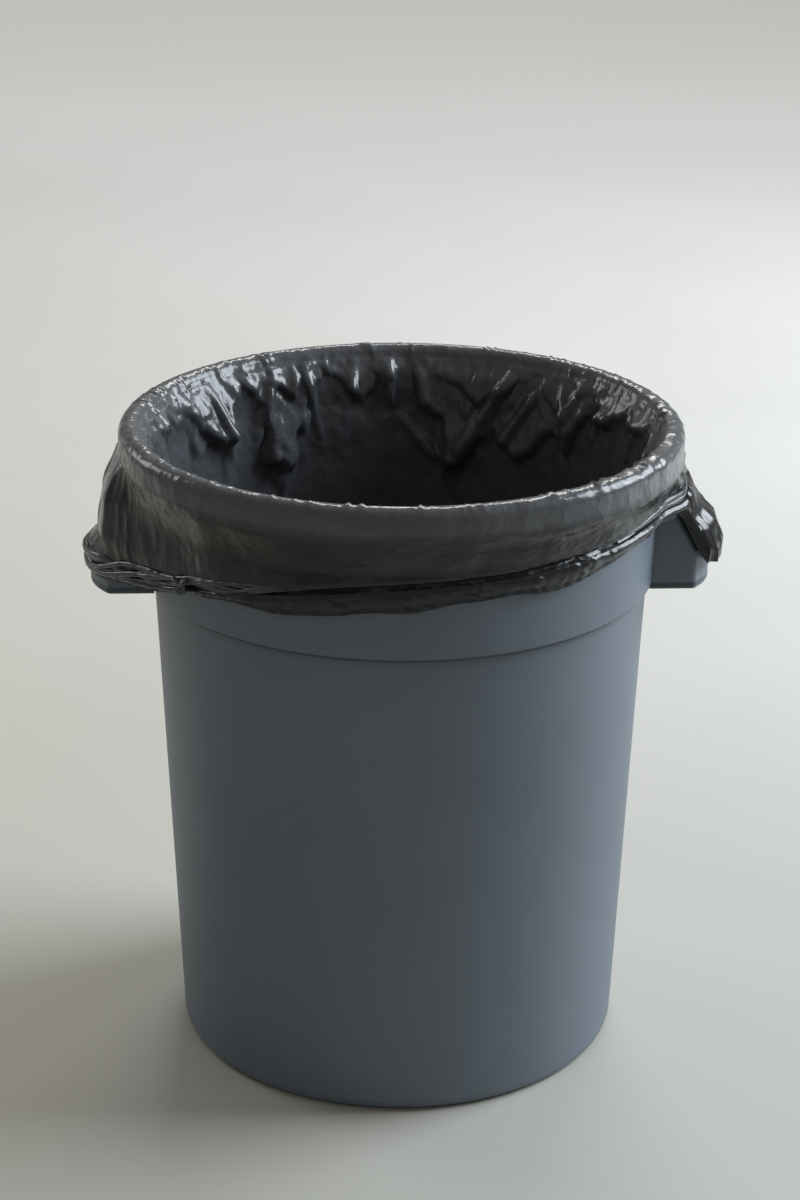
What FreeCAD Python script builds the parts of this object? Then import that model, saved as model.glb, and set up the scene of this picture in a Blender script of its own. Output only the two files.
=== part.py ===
"""Round waste bin of 75 litres with a black bin bag hung in it. Millimetres, +Z up.

The origin is on the floor, on the bin's axis. The two handles lie along the X axis.
bin_body is one injection moulding: a tapered wall, a wider collar, a rim channel that is open
underneath, two hood handles and a raised floor on a foot ring, with ribs under it.
bin_bag is one tube of blown film: it lines the bin in pleats, turns over the rim, is pulled tight
round the collar at its knotted mouth, and hangs below that in a loose hem.
"""
import FreeCAD, Part
import math
import os

Vector = FreeCAD.Vector
ORIGIN = Vector(0, 0, 0)
UP = Vector(0, 0, 1)

# Bin: height, foot and the taper that gives every other radius.
bin_height = 581.0
base_radius = 201.0
draft = math.tan(math.radians(2.5))
wall = 2.7

# Base: a foot ring, a raised floor and the ribs under it.
base_round = 11.0
foot_width = 9.0
foot_draft = 2.0
foot_round = 1.0
floor_lift = 9.0
floor_thickness = 3.0
inside_round = 8.0
rib_count = 12
rib_thickness = 2.4
rib_height = 5.0
rib_bite = 0.5
rib_ring_radius = 70.0

# Collar: the wider top of the wall, which starts at a narrow ledge. Inside, the ledge lies higher, so
# that the wall keeps its thickness.
collar_height = 137.0
step_width = 5.5
step_height = 2.5
step_rise = 2.0
step_round = 1.2

# Rim: a channel turned outwards and down.
rim_overhang = 16.2
rim_drop = 26.0
rim_round = 8.5
rim_inner_round = 3.0
rim_lip_round = 0.8
round_flat_count = 3

# Hood handles: bowed in plan, open underneath, flush with the rim above. Drops are from the bin's top.
handle_half_width = 50.0
handle_proud = 29.0
corner_proud = 10.5
corner_round = 6.0
handle_bottom_drop = 143.0
handle_brow_drop = 109.0
handle_top_drop = 77.0
handle_root_depth = 15.0
handle_overlap = 1.5

# Bag: its film, as thick as a solid needs, and how close it lies to the bin.
film = 0.8
film_gap = 0.4
film_columns = 84
rim_ring_count = 4

# Pleats that take up the bag's spare width inside the bin, deep under the rim and shallow low down.
# Waves are (turns round the bin, size, start in radians).
pleat_count = 21
pleat_depth_top = 17.0
pleat_depth_low = 3.5
pleat_low_height = 150.0
pleat_drift = ((3, 1.5, 0.6), (5, 0.9, 0.0))
pleat_uneven = ((4, 0.15, 0.9), (7, 0.12, 0.0))
fade_height = 42.0

# Tight mouth of the bag, round the collar. It runs low outside the left handle, high over the right one.
mouth_drop = 60.0
mouth_width = 8.0
mouth_proud = 2.6
mouth_clear = 4.0
mouth_sag = ((2, 2.5, 0.4),)
left_mouth_drop = 124.0
left_sweep = (10.0, 88.0)
right_mouth_drop = 52.0
right_sweep = (15.0, 60.0)

# Loose hem below the tight mouth.
hem_length = 30.0
hem_wave = ((7, 5.0, 1.1), (3, 2.5, 0.0))
hem_flare = ((0, 1.2, math.pi / 2), (5, 0.9, 0.0))
left_hem_length = 9.0
left_hem_sweep = (12.0, 45.0)
right_hem_drop = 137.0
right_cover_sweep = (10.5, 17.0)
cover_gap = 4.4
cover_bulge = 2.5
handle_edge_gap = 1.5

# Sizes that follow from those above.
step_top = bin_height - collar_height
step_bottom = step_top - step_height
step_radius = base_radius + draft * step_bottom
collar_radius = step_radius + step_width
collar_top_radius = collar_radius + draft * (bin_height - wall - step_top)
rim_radius = collar_top_radius + rim_overhang
rim_inner_radius = collar_top_radius - wall
rim_bottom = bin_height - rim_drop
floor_top = floor_lift + floor_thickness
foot_inner_radius = base_radius - base_round - foot_width
handle_bottom = bin_height - handle_bottom_drop
handle_brow = bin_height - handle_brow_drop
handle_top = bin_height - handle_top_drop
half_film = film / 2
film_offset = film_gap + half_film


def between(low, high, share):
    return low + (high - low) * share


def ramp(value, low, high):
    """0 up to low, 1 from high on, and a straight line between them."""
    return min(1.0, max(0.0, (value - low) / (high - low)))


def smooth(value, low, high):
    """As ramp, with an even curve."""
    share = ramp(value, low, high)
    return share * share * (3 - 2 * share)


def ripple(angle, waves):
    return sum(size * math.sin(turns * angle + start) for turns, size, start in waves)


def corner_points(before, corner, after, radius, flats):
    """The points of a rounded corner, as short flats that touch its true arc at their ends."""
    if radius <= 0:
        return [corner]
    back = (before - corner).normalize()
    ahead = (after - corner).normalize()
    half = math.acos(back.dot(ahead)) / 2
    centre = corner + (back + ahead).normalize() * (radius / math.sin(half))
    first = corner + back * (radius / math.tan(half)) - centre
    last = corner + ahead * (radius / math.tan(half)) - centre
    whole = first.getAngle(last)
    points = []
    for i in range(flats + 1):
        turn = whole * i / flats
        arm = first * (math.sin(whole - turn) / math.sin(whole)) + last * (math.sin(turn) / math.sin(whole))
        points.append(centre + arm)
    return points


def moulded_shell():
    """The wall, collar, rim channel, foot ring and floor as one turned section."""
    inside_base = base_radius - wall + draft * floor_top
    corners = [
        (0.0, floor_lift, 0, 0),
        (foot_inner_radius - foot_draft, floor_lift, 0, 0),
        (foot_inner_radius, 0.0, foot_round, 1),
        (base_radius, 0.0, base_round, round_flat_count),
        (step_radius, step_bottom, step_round, 1),
        (collar_radius, step_top, step_round, 1),
        (collar_top_radius, bin_height - wall, 0, 0),
        (rim_radius - wall, bin_height - wall, rim_inner_round, 1),
        (rim_radius - wall, rim_bottom, 0, 0),
        (rim_radius, rim_bottom, rim_lip_round, 1),
        (rim_radius, bin_height, rim_round, round_flat_count),
        (rim_inner_radius, bin_height, rim_round, round_flat_count),
        (collar_radius - wall, step_top + step_rise, 0, 0),
        (step_radius - wall, step_bottom + step_rise, 0, 0),
        (inside_base, floor_top, inside_round, 2),
        (0.0, floor_top, 0, 0),
    ]
    places = [Vector(x, 0, z) for x, z, _, _ in corners]
    outline = []
    for i, (_, _, radius, flats) in enumerate(corners):
        outline += corner_points(places[i - 1], places[i], places[(i + 1) % len(places)], radius, flats)
    section = Part.Face(Part.makePolygon(outline + outline[:1]))
    return section.revolve(ORIGIN, UP, 360)


def base_ribs():
    """A ring and straight ribs under the floor, inside the foot ring and clear of the ground."""
    low = Vector(0, 0, floor_lift - rib_height)
    height = rib_height + rib_bite
    outer = Part.makeCylinder(rib_ring_radius + rib_thickness / 2, height, low)
    inner = Part.makeCylinder(rib_ring_radius - rib_thickness / 2, height, low)
    reach = foot_inner_radius - rib_ring_radius + rib_bite
    ribs = []
    for i in range(rib_count):
        corner = low + Vector(rib_ring_radius, -rib_thickness / 2, 0)
        rib = Part.makeBox(reach, rib_thickness, height, corner)
        rib.rotate(ORIGIN, UP, 360.0 * i / rib_count)
        ribs.append(rib)
    return outer.cut(inner).fuse(ribs)


def bow_circle():
    """Centre and radius of the arc through a handle's two front corners and its furthest point."""
    sagitta = handle_proud - corner_proud
    radius = (sagitta**2 + handle_half_width**2) / (2 * sagitta)
    return rim_radius + handle_proud - radius, radius


def hood_outline(height, bow_centre, bow_radius, inset):
    """A handle seen from above: two straight sides, rounded corners and a bowed front."""
    half = handle_half_width - inset
    bow = bow_radius - inset
    corner = corner_round - inset
    root = step_radius - handle_root_depth - inset
    corner_x = bow_centre + math.sqrt((bow - corner) ** 2 - (half - corner) ** 2)
    out = Vector(corner_x - bow_centre, half - corner, 0).normalize()
    diagonal = (out + Vector(0, 1, 0)).normalize() * corner
    side_start = Vector(root, half, height)
    side_end = Vector(corner_x, half, height)
    corner_middle = Vector(corner_x + diagonal.x, half - corner + diagonal.y, height)
    bow_end = Vector(bow_centre + out.x * bow, out.y * bow, height)

    def mirrored(point):
        return Vector(point.x, -point.y, point.z)

    return Part.Wire([
        Part.makeLine(side_start, side_end),
        Part.Arc(side_end, corner_middle, bow_end).toShape(),
        Part.Arc(bow_end, Vector(bow_centre + bow, 0, height), mirrored(bow_end)).toShape(),
        Part.Arc(mirrored(bow_end), mirrored(corner_middle), mirrored(side_end)).toShape(),
        Part.makeLine(mirrored(side_end), mirrored(side_start)),
        Part.makeLine(mirrored(side_start), side_start),
    ])


def hood_solid(inset):
    """The handle's outer form, or with an inset the hollow inside it, which runs out at both ends."""
    centre, radius = bow_circle()
    slope = math.atan2(handle_proud, handle_brow_drop - handle_top_drop)
    slope_shift = inset * math.tan(slope / 2)
    return Part.makeLoft([
        hood_outline(handle_bottom - inset, centre, radius, inset),
        hood_outline(handle_brow - slope_shift, centre, radius, inset),
        hood_outline(handle_top - slope_shift, 0.0, rim_radius, inset),
        hood_outline(rim_bottom + handle_overlap + inset, 0.0, rim_radius, inset),
    ], True, True)


def handle():
    """A hood that is open underneath and trimmed to the middle of the collar's wall."""
    low = handle_bottom - wall
    low_radius = collar_radius + draft * (low - step_top) - wall / 2
    high_radius = collar_radius + draft * (bin_height - step_top) - wall / 2
    collar_core = Part.makeCone(low_radius, high_radius, bin_height - low, Vector(0, 0, low))
    return hood_solid(0.0).cut(hood_solid(wall)).cut(collar_core)


def bin_body():
    right = handle()
    left = right.copy()
    left.rotate(ORIGIN, UP, 180)
    return moulded_shell().fuse([base_ribs(), right, left]).removeSplitter()


def wall_inside(z):
    """The bin's inner radius at a height below the step or above it."""
    if z >= step_top + step_rise:
        return collar_radius - wall + draft * (z - step_top)
    return base_radius + draft * z - wall


def turn_from(angle, axis_angle):
    """Angle from a handle's own axis, in degrees from 0 to 180."""
    turn = angle - axis_angle
    return math.degrees(abs(math.atan2(math.sin(turn), math.cos(turn))))


def cover_radius(turn, z):
    """Reach of the film over a handle, which it spans in a straight line from the rim to the brow."""
    centre, radius = bow_circle()
    sine = math.sin(math.radians(turn))
    cosine = math.cos(math.radians(turn))
    bow = centre * cosine + math.sqrt(radius**2 - (centre * sine) ** 2)
    return between(bow, rim_radius, ramp(z, handle_brow, rim_bottom)) + cover_gap


def corner_turn():
    """Angle from a handle's axis to its front corner, in degrees."""
    return math.degrees(math.atan2(handle_half_width, rim_radius + corner_proud))


def tent_radius(turn, z, beside):
    """Film pulled round a handle: over its front, then straight to the round skirt beside it."""
    corner = corner_turn()
    if turn <= corner:
        return cover_radius(turn, z)
    corner_reach = cover_radius(corner, z)
    if corner_reach <= beside:
        return beside
    touch = corner + math.degrees(math.acos(beside / corner_reach))
    if turn >= touch:
        return beside
    return beside / math.cos(math.radians(touch - turn))


def pleat_depth(angle, z):
    """How far the lining folds inwards, from 0 on the wall to the pleat's full depth."""
    fold = 0.5 - 0.5 * math.cos(pleat_count * angle + ripple(angle, pleat_drift))
    fade_from = bin_height - fade_height
    depth = between(pleat_depth_low, pleat_depth_top, smooth(z, pleat_low_height, fade_from))
    fade = 1 - smooth(z, fade_from, bin_height - half_film)
    return depth * fade * fold * (1 - abs(ripple(angle, pleat_uneven)))


def mouth_height(angle):
    """Height of the middle of the tight mouth."""
    near_left = 1 - smooth(turn_from(angle, math.pi), *left_sweep)
    near_right = 1 - smooth(turn_from(angle, 0.0), *right_sweep)
    drop = mouth_drop + (left_mouth_drop - mouth_drop) * near_left + (right_mouth_drop - mouth_drop) * near_right
    return bin_height - drop + ripple(angle, mouth_sag)


def skirt_radius(angle, z):
    """Film that hangs from the rim, drawn in to the collar at the mouth and pulled over the handles."""
    outside = rim_radius + film_offset
    round_collar = collar_radius + draft * (z - step_top) + film_offset + mouth_clear
    drawn = between(outside, round_collar, ramp(rim_bottom - z, 0.0, mouth_drop - rim_drop))
    if math.cos(angle) < 0:
        return tent_radius(turn_from(angle, math.pi), z, drawn)
    beside_right = 1 - smooth(turn_from(angle, 0.0), corner_turn(), 2 * corner_turn())
    return between(drawn, outside + handle_edge_gap, beside_right)


def lining_rings():
    """From the middle of the bag's bottom up to the rim. Each ring gives (radius, height) for an angle."""
    floor = floor_top + film_offset
    foot = wall_inside(floor) - film_offset - inside_round

    def level(radius):
        return lambda angle: (radius, floor)

    def upright(z, radius):
        return lambda angle: (radius - pleat_depth(angle, z), z)

    over_step = step_top + step_rise + 2 * step_height
    heights = [pleat_low_height, step_bottom + step_rise, over_step]
    heights += [between(over_step, bin_height - rim_round, share) for share in (0.3, 0.55, 0.8)]
    rings = [level(foot / 2), level(foot), upright(floor + inside_round, foot + inside_round)]
    return rings + [upright(z, wall_inside(z) - film_offset) for z in heights]


def rim_rings():
    """Over the rounded top of the rim."""
    low = bin_height - rim_round
    step = math.pi / rim_ring_count
    reach = (rim_round + film_offset) / math.cos(step / 2)

    def on_arc(centre, turn):
        return lambda angle: (centre + reach * math.cos(turn), low + reach * math.sin(turn))

    rings = []
    for i in range(rim_ring_count):
        turn = math.pi - (i + 0.5) * step
        centre = rim_inner_radius + rim_round if turn > math.pi / 2 else rim_radius - rim_round
        rings.append(on_arc(centre, turn))
    return rings


def skirt_rings():
    """From the rim down to the tight mouth."""
    def down(share):
        def place(angle):
            z = between(rim_bottom, mouth_height(angle) + mouth_width / 2, share)
            return skirt_radius(angle, z), z
        return place

    def mouth(rise, proud):
        def place(angle):
            z = mouth_height(angle) + rise
            return skirt_radius(angle, z) + proud, z
        return place

    rim_foot = (rim_radius + film_offset, rim_bottom)
    return [lambda angle: rim_foot, down(0.4), down(0.75), mouth(mouth_width / 2, 0.0),
            mouth(0.0, mouth_proud), mouth(-mouth_width / 2, 0.0)]


def hem_rings():
    """The loose hem. It is short outside the left handle and spreads over the right one."""
    def down(share):
        def place(angle):
            turn_right = turn_from(angle, 0.0)
            loose = smooth(turn_from(angle, math.pi), *left_hem_sweep)
            start = mouth_height(angle) - mouth_width / 2
            z = start - share * between(left_hem_length, hem_length + ripple(angle, hem_wave), loose)
            radius = skirt_radius(angle, z) + share * loose * ripple(angle, hem_flare)
            over = 1 - smooth(turn_right, *right_cover_sweep)
            if over > 0:
                over_z = between(start, bin_height - right_hem_drop, share)
                radius = between(radius, cover_radius(turn_right, over_z) + cover_bulge, over)
                z = between(z, over_z, over)
            return radius, z
        return place

    return [down(0.3), down(0.65), down(1.0)]


def film_rows():
    """Points of the film's middle surface, one row for each ring."""
    rows = []
    for ring in lining_rings() + rim_rings() + skirt_rings() + hem_rings():
        row = []
        for j in range(film_columns):
            angle = 2 * math.pi * j / film_columns
            radius, z = ring(angle)
            row.append(Vector(radius * math.cos(angle), radius * math.sin(angle), z))
        rows.append(row)
    return rows


def film_normals(rows):
    """Unit normals of the middle surface, on the side that faces the bin."""
    last = len(rows) - 1
    normals = [[-UP for _ in rows[0]]]
    for i in range(1, len(rows)):
        line = []
        for j in range(film_columns):
            onward = rows[min(i + 1, last)][j] - rows[i - 1][j]
            around = rows[i][(j + 1) % film_columns] - rows[i][j - 1]
            line.append(around.cross(onward).normalize())
        normals.append(line)
    return normals


def bin_bag():
    """Both faces of the film as one closed skin, from the bag's bottom out to the hem and back again."""
    rows = film_rows()
    normals = film_normals(rows)
    order = range(len(rows))
    faces = [(i, -half_film) for i in order] + [(i, half_film) for i in reversed(order)]
    points = []
    for i, offset in faces:
        points += [point + normal * offset for point, normal in zip(rows[i], normals[i])]
    triangles = []
    for k in range(len(faces) - 1):
        for j in range(film_columns):
            a = k * film_columns + j
            b = k * film_columns + (j + 1) % film_columns
            c, d = b + film_columns, a + film_columns
            if points[a].distanceToPoint(points[c]) < points[b].distanceToPoint(points[d]):
                triangles += [(a, d, c), (a, c, b)]
            else:
                triangles += [(a, d, b), (b, d, c)]
    last_ring = (len(faces) - 1) * film_columns
    for j in range(1, film_columns - 1):
        triangles.append((0, j, j + 1))
        triangles.append((last_ring, last_ring + j + 1, last_ring + j))
    skin = Part.Shape()
    skin.makeShapeFromMesh((points, triangles), film / 100)
    return Part.makeSolid(skin.Shells[0])


def main():
    os.makedirs("parts", exist_ok=True)
    for name, make in (("bin_body", bin_body), ("bin_bag", bin_bag)):
        shape = make()
        solid = shape.Solids[0] if len(shape.Solids) == 1 else shape
        print(name, "solids", len(shape.Solids), "valid", shape.isValid(),
              "volume", round(shape.Volume), "faces", len(shape.Faces))
        solid.exportStep("parts/" + name + ".step")


main()
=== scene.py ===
# %% [markdown]
# # A lined waste bin
# The bin is one piece of moulded plastic, and its bag is one tube of thin black film. The plastic is
# easy: the CAD solid already has its shape, and needs only a good finish. The film is the work. It is
# one net of points that follows the bag from its bottom to its hem. Large folds are drawn into it as
# rules for how film hangs, and small creases are pressed into it afterwards.

# %% Load the frame and note its size
import math

import bmesh
import bpy
import numpy as np
from mathutils import Matrix, Vector


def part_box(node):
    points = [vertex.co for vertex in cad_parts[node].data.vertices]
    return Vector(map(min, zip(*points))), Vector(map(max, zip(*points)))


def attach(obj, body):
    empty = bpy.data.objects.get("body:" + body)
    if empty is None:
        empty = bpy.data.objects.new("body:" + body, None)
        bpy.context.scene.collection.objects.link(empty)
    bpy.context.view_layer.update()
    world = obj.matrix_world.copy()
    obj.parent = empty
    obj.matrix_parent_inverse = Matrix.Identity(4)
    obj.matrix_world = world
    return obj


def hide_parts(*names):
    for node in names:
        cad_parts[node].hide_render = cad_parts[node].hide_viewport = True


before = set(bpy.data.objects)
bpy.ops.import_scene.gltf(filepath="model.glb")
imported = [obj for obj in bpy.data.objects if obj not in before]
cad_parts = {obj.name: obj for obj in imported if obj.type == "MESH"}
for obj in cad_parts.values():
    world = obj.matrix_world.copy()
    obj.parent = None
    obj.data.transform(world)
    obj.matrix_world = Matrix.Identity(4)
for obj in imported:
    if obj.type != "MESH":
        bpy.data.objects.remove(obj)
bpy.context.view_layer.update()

# %% [markdown]
# ## Camera
# The camera stands a little left of the bin's middle and looks down by about 21 degrees, with a long
# lens, so the rim is an open ellipse. Its axes are worked out from its heading, pitch and roll, because
# even a small roll shows in a wide rim.

# %% Camera
CAMERA_PLACE = Vector((-0.1115, -2.3625, 1.3254))
CAMERA_HEADING = math.radians(2.70)
CAMERA_PITCH = math.radians(21.155)
CAMERA_ROLL = math.radians(0.42)
CAMERA_LENS = 84.3
CAMERA_SENSOR = 36


def add_camera():
    forward = Vector((math.sin(CAMERA_HEADING) * math.cos(CAMERA_PITCH),
                      math.cos(CAMERA_HEADING) * math.cos(CAMERA_PITCH),
                      -math.sin(CAMERA_PITCH)))
    level = Vector((math.cos(CAMERA_HEADING), -math.sin(CAMERA_HEADING), 0))
    right = level * math.cos(CAMERA_ROLL) + level.cross(forward) * math.sin(CAMERA_ROLL)
    turn = Matrix((right, right.cross(forward), -forward)).transposed().to_4x4()
    turn.translation = CAMERA_PLACE
    data = bpy.data.cameras.new("camera")
    data.sensor_fit = "AUTO"
    data.sensor_width = CAMERA_SENSOR
    data.lens = CAMERA_LENS
    camera = bpy.data.objects.new("camera", data)
    camera.matrix_world = turn
    bpy.context.collection.objects.link(camera)
    bpy.context.scene.camera = camera
    return camera


print("camera at", tuple(add_camera().location))

# %% [markdown]
# ## The bin's sizes
# The film has to know where the bin is. The bin is a turned shape with two handles, so a few radii and
# heights say all of it. The height comes from the frame, and the rest are the moulding's own sizes.

# %% Sizes of the bin, in metres
MM = 0.001
body_low, body_high = (Vector(corner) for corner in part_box("bin_body"))
HEIGHT = body_high.z
DRAFT = math.tan(math.radians(2.5))
WALL = 2.7 * MM
BASE_R = 201 * MM
FLOOR = 12 * MM
STEP_TOP = HEIGHT - 137 * MM
STEP_LOW = STEP_TOP - 2.5 * MM
STEP_RISE = 2 * MM
COLLAR_R = BASE_R + DRAFT * STEP_LOW + 5.5 * MM
COLLAR_TOP_R = COLLAR_R + DRAFT * (HEIGHT - WALL - STEP_TOP)
RIM_R = COLLAR_TOP_R + 16.2 * MM
RIM_IN = COLLAR_TOP_R - WALL
RIM_ROUND = 8.5 * MM
RIM_LOW = HEIGHT - 26 * MM
HOOD_HALF = 50 * MM
HOOD_LOW = HEIGHT - 143 * MM
HOOD_BROW = HEIGHT - 109 * MM
HOOD_TOP = HEIGHT - 77 * MM
HOOD_CORNER_X = RIM_R + 10.5 * MM
HOOD_REACH = body_high.x
SAGITTA = HOOD_REACH - HOOD_CORNER_X
BOW_R = (SAGITTA**2 + HOOD_HALF**2) / (2 * SAGITTA)
BOW_X = HOOD_REACH - BOW_R
HOOD_CORNER = math.atan2(HOOD_HALF, HOOD_CORNER_X)
LEFT, RIGHT = math.pi, 0.0
print("rim radius", round(RIM_R, 4), "handle reach", round(HOOD_REACH, 4))


def smooth(value, low, high):
    share = np.clip((value - low) / (high - low), 0, 1)
    return share * share * (3 - 2 * share)


def mix(low, high, share):
    return low + (high - low) * share


def away(theta, axis):
    """Angle from a handle's axis, from 0 to pi."""
    return np.abs(np.arctan2(np.sin(theta - axis), np.cos(theta - axis)))


def ripple(theta, waves):
    return sum(size * np.sin(turns * theta + start) for turns, size, start in waves)


def wall_inside(z):
    lower = BASE_R + DRAFT * z - WALL
    upper = COLLAR_R - WALL + DRAFT * (z - STEP_TOP)
    return mix(lower, upper, np.clip((z - STEP_RISE - STEP_LOW) / (STEP_TOP - STEP_LOW), 0, 1))


def collar_outside(z):
    return COLLAR_R + DRAFT * (z - STEP_TOP)


def bow_reach(turn):
    """How far a handle's bowed front reaches, at an angle from the handle's axis."""
    return BOW_X * np.cos(turn) + np.sqrt(np.maximum(BOW_R**2 - (BOW_X * np.sin(turn)) ** 2, 0))


def hood_radius(theta, z):
    """Reach of the handles' outside at a point, or 0 beside, above and below them."""
    turn = np.minimum(away(theta, RIGHT), away(theta, LEFT))
    reach = mix(bow_reach(turn), RIM_R, np.clip((z - HOOD_BROW) / (HOOD_TOP - HOOD_BROW), 0, 1))
    within = (reach * np.sin(turn) <= HOOD_HALF) & (z > HOOD_LOW - 2 * MM) & (z < RIM_LOW)
    return np.where(within, reach, 0)


# %% [markdown]
# ## Shader helpers
# Node trees are easier to read as sums. `Value` wraps a socket, and Python's operators on it add the
# Math nodes, so `mask * 0.5 + 1` writes two nodes. Any other node comes from `Nodes.node`, which takes
# its type, its settings and its inputs. The strands of the bag's mouth are made with it too.

# %% A socket that can be calculated with
class Value:
    def __init__(self, nodes, socket):
        self.nodes = nodes
        self.socket = socket

    def _maths(self, operation, other):
        return self.nodes.node("ShaderNodeMath", {"operation": operation}, {0: self, 1: other})

    def __add__(self, other):
        return self._maths("ADD", other)

    def __sub__(self, other):
        return self._maths("SUBTRACT", other)

    def __mul__(self, other):
        return self._maths("MULTIPLY", other)

    __radd__ = __add__


class Nodes:
    """A node tree whose sockets take plain values or wrapped ones."""

    def __init__(self, tree):
        self.tree = tree

    def plug(self, socket, value):
        if isinstance(value, Value):
            self.tree.links.new(value.socket, socket)
        else:
            socket.default_value = value

    def node(self, kind, settings=None, inputs=None, output=0):
        made = self.tree.nodes.new(kind)
        for key, value in (settings or {}).items():
            if key == "stops":
                set_stops(made.color_ramp, value)
            else:
                setattr(made, key, value)
        for key, value in (inputs or {}).items():
            self.plug(made.inputs[key], value)
        return Value(self, made.outputs[output])

    def colours(self, factor, first, second):
        """A mix of two colours by a factor."""
        made = self.tree.nodes.new("ShaderNodeMix")
        made.data_type = "RGBA"
        for index, value in ((0, factor), (6, first), (7, second)):
            self.plug(made.inputs[index], value)
        return Value(self, made.outputs[2])

    def ramp(self, factor, *stops):
        return self.node("ShaderNodeValToRGB", {"stops": stops}, {0: factor})

    def noise(self, place, scale, detail=3.0, roughness=0.55):
        return self.node("ShaderNodeTexNoise", {}, {
            "Vector": place, "Scale": scale, "Detail": detail, "Roughness": roughness})


class Finish(Nodes):
    """A material with one Principled shader."""

    def __init__(self, name):
        self.material = bpy.data.materials.new(name)
        self.material.use_nodes = True
        super().__init__(self.material.node_tree)
        self.shader = self.tree.nodes["Principled BSDF"]

    def set(self, **values):
        for key, value in values.items():
            self.plug(self.shader.inputs[key.replace("_", " ")], value)
        return self.material


def set_stops(ramp, stops):
    while len(ramp.elements) < len(stops):
        ramp.elements.new(0.5)
    for element, (place, grey) in zip(ramp.elements, stops):
        element.position = place
        element.color = (grey, grey, grey, 1)


# %% [markdown]
# ## Moulded plastic
# A polyethylene bin is satin, never mirror-like. Its surface has a fine orange-peel grain, its gloss
# drifts from patch to patch where hands and carts have rubbed it, and a few light scuffs run round it.
# All of it is noise on object coordinates: stretched noise gives scuffs a direction. A thin dark line
# under the collar's ledge is painted shade, the shade that the ledge casts on the wall just below it.

# %% Finish of the bin
def bin_finish():
    f = Finish("bin_plastic")
    place = f.node("ShaderNodeTexCoord", output=3)
    grain = f.noise(place, 900.0, 2.0)
    peel = f.noise(place, 160.0, 2.0)
    patches = f.noise(place, 5.5, 4.0)
    low_round = f.node("ShaderNodeMapping", {}, {"Vector": place, "Scale": (14.0, 14.0, 260.0)})
    scuffs = f.ramp(f.noise(low_round, 2.2, 5.0, 0.7), (0.62, 0.0), (0.72, 1.0))
    height_up = f.node("ShaderNodeSeparateXYZ", {}, {0: place}, output="Z")
    # Painted shade: a dark band just under the collar's ledge, where the ledge shades the wall below
    # it.
    step_shadow_mask = f.ramp(height_up * 80 - (STEP_LOW - 8 * MM) * 80,
                        (0.0, 0.0), (0.44, 0.30), (0.54, 1.0), (0.76, 1.0), (0.87, 0.0))
    deep = (0.107, 0.133, 0.163, 1)
    pale = (0.122, 0.150, 0.182, 1)
    rubbed = (0.20, 0.225, 0.25, 1)
    # The colour of the painted shade under the ledge.
    painted_step_shadow = (0.022, 0.028, 0.036, 1)
    base = f.colours(f.ramp(patches, (0.35, 0.0), (0.68, 1.0)), deep, pale)
    colour = f.colours(step_shadow_mask * 0.75, f.colours(scuffs * 0.16, base, rubbed), painted_step_shadow)
    height = grain * 0.25 + peel * 0.6 + patches * 1.5
    normal = f.node("ShaderNodeBump", {}, {"Strength": 0.16, "Distance": 0.0006, "Height": height})
    return f.set(Base_Color=colour, Roughness=patches * 0.16 + grain * 0.08 + scuffs * 0.06 + 0.34,
                 Normal=normal, IOR=1.5)


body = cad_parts["bin_body"]
PLASTIC = bin_finish()
body.data.materials.clear()
body.data.materials.append(PLASTIC)
print("bin body", len(body.data.polygons), "faces, finish", PLASTIC.name)

# %% [markdown]
# ## Where the film runs
# The bag is one tube. Its net has a row for each step along the film, from the middle of the bag's
# bottom, up inside the wall, over the rim, down to the tight mouth and on to the loose hem. The mouth
# hangs low outside the left handle and passes high over the right one, so its height is a function
# of the angle, and so is the length of the hem.

# %% Path of the film
FILM_GAP = 0.9 * MM
FLAT_WIDTH = 1.60

# Round the bin, in degrees: how far the tight mouth lies under the bin's top, and how long the hem is
# below it, in millimetres. The front half follows the photograph.
MOUTH_DROPS = (
    (-180, 124), (-152, 110), (-138, 98), (-124, 87), (-113, 80), (-103, 73), (-93, 69), (-76, 66),
    (-50, 62), (-32, 58), (-12, 56), (12, 56), (50, 61), (90, 69), (130, 90), (160, 114))
HEM_LENGTHS = (
    (-180, 8), (-142, 4), (-126, 8), (-114, 21), (-103, 18), (-92, 20), (-83, 17), (-69, 14), (-61, 20),
    (-47, 16), (-38, 12), (-14, 12), (14, 12), (40, 17), (75, 20), (110, 17), (150, 9))
HEM_RIPPLES = ((11, 0.8 * MM, 0.5), (23, 0.6 * MM, 0.0))
MOUTH_HALF = 3 * MM
MOUTH_GROOVE = 2.2 * MM
SKIRT_CLEAR = 4 * MM
SKIRT_TAPER = 34 * MM

# Over a handle: how far the film puffs out, by how far it has dropped from the rim, and how it then
# nears the handle's brow.
PUFF_DROPS = (0, 0.029, 0.065, 0.080, 0.095)
PUFF_REACHES = (0, 0.013, 0.018, 0.014, 0)
BROW_STEP = 21 * MM
BROW_BLEND = 22 * MM
TENT_PROUD = 2 * MM

# The flap over the right handle, by share of its length: it puffs out past the brow and hangs.
FLAP_EDGE = (math.radians(10.5), math.radians(13.5))
FLAP_SHARES = (0.0, 0.17, 0.42, 0.75, 1.0)
FLAP_REACHES = (RIM_R + 3 * MM, 259 * MM, 277 * MM, 284 * MM, 283 * MM)
FLAP_RISES = (HEIGHT - 58 * MM, 508 * MM, 491 * MM, 472 * MM, 455 * MM)


def around(theta, stations):
    """A value that changes softly between stations round the bin."""
    angles, values = zip(*stations)
    turn = np.degrees(theta)
    return sum(np.interp(turn + shift, angles, values, period=360) for shift in (-6, -3, 0, 3, 6)) / 5


def mouth_height(theta):
    return HEIGHT - around(theta, MOUTH_DROPS) * MM


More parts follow.
